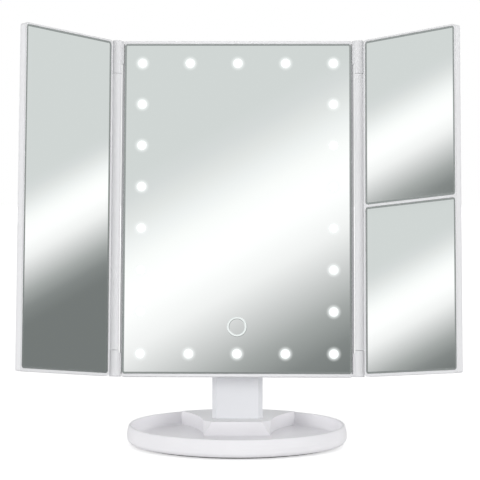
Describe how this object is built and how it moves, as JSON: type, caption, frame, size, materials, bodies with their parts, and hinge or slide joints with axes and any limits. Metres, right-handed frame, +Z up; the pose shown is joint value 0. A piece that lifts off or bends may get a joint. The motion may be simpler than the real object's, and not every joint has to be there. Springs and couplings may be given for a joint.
{
  "type": "trifold vanity mirror",
  "caption": "Lighted trifold vanity mirror: tilting centre mirror with touch ring, two folding wing mirrors, stem and oval tray base.",
  "frame": {"origin": "on the table, under the middle of the oval base", "axes": "+X to the viewer's right, +Y away from the viewer, +Z up; the mirror faces -Y"},
  "size_m": [0.2998, 0.1253, 0.2934],
  "materials": {
    "white_shell": "soft gloss white moulded ABS",
    "stem_shell": "pale grey-white moulded ABS",
    "mirror": "silvered float glass",
    "frosted_glass": "etched, lit from behind",
    "foam": "closed-cell adhesive foam",
    "board_white": "white solder mask on a fibreglass board",
    "board_green": "green solder mask on a fibreglass board",
    "led_body": "surface-mounted white LEDs with yellow phosphor",
    "steel": "zinc-plated steel",
    "dark_plastic": "satin black acetal",
    "cell_jacket": null,
    "rubber": "matt grey rubber",
    "lead_jacket": "white PVC jacket"
  },
  "bodies": {
    "base": {"base_tray": "white_shell", "base_cover": "white_shell", "battery_cells": "cell_jacket", "battery_contacts": "steel", "usb_socket": "steel", "power_board": "board_green", "base_screws": "steel", "foot_strip": "rubber", "stem_column": "stem_shell", "stem_cover": "stem_shell", "stem_screws": "steel", "power_lead": "lead_jacket"},
    "head": {"center_frame": "white_shell", "center_mirror": "mirror", "light_windows": "frosted_glass", "touch_ring": "frosted_glass", "mirror_pad": "foam", "led_board": "board_white", "leds": "led_body", "touch_board": "board_green", "center_back_cover": "white_shell", "head_screws": "steel", "switch_housing": "dark_plastic", "tilt_pin": "steel", "tilt_nut": "steel", "friction_washers": "dark_plastic", "left_hinge_pins": "steel", "right_hinge_pins": "steel"},
    "left_wing": {"left_wing_frame": "white_shell", "left_wing_back": "white_shell", "left_mirror": "mirror", "left_mirror_pad": "foam"},
    "right_wing": {"right_wing_frame": "white_shell", "right_wing_back": "white_shell", "right_upper_mirror": "mirror", "right_lower_mirror": "mirror", "right_mirror_pads": "foam"},
    "switch_slider": {"power_switch": "dark_plastic"},
    "door": {"battery_door": "white_shell"}
  },
  "joints": [
    {"name": "head_tilt", "type": "hinge", "parent": "base", "child": "head", "pos_m": [0, 0.0234, 0.0907], "axis": [-1, 0, 0], "range_deg": [-12.5, 77.5]},
    {"name": "left_wing_fold", "type": "hinge", "parent": "head", "child": "left_wing", "pos_m": [-0.0855, 0.02153, 0.1643], "axis": [0, 0.2164, 0.9763], "range_deg": [-47.4, 132.6]},
    {"name": "right_wing_fold", "type": "hinge", "parent": "head", "child": "right_wing", "pos_m": [0.0855, 0.02153, 0.1643], "axis": [0, -0.2164, -0.9763], "range_deg": [-42.2, 137.8]},
    {"name": "power_switch_slide", "type": "slide", "parent": "head", "child": "switch_slider", "axis": [1, 0, 0], "range_m": [0, 0.0036]},
    {"name": "battery_door_swing", "type": "hinge", "parent": "base", "child": "door", "pos_m": [0, 0.0054, 0.0016], "axis": [-1, 0, 0], "range_deg": [0, 80]}
  ]
}
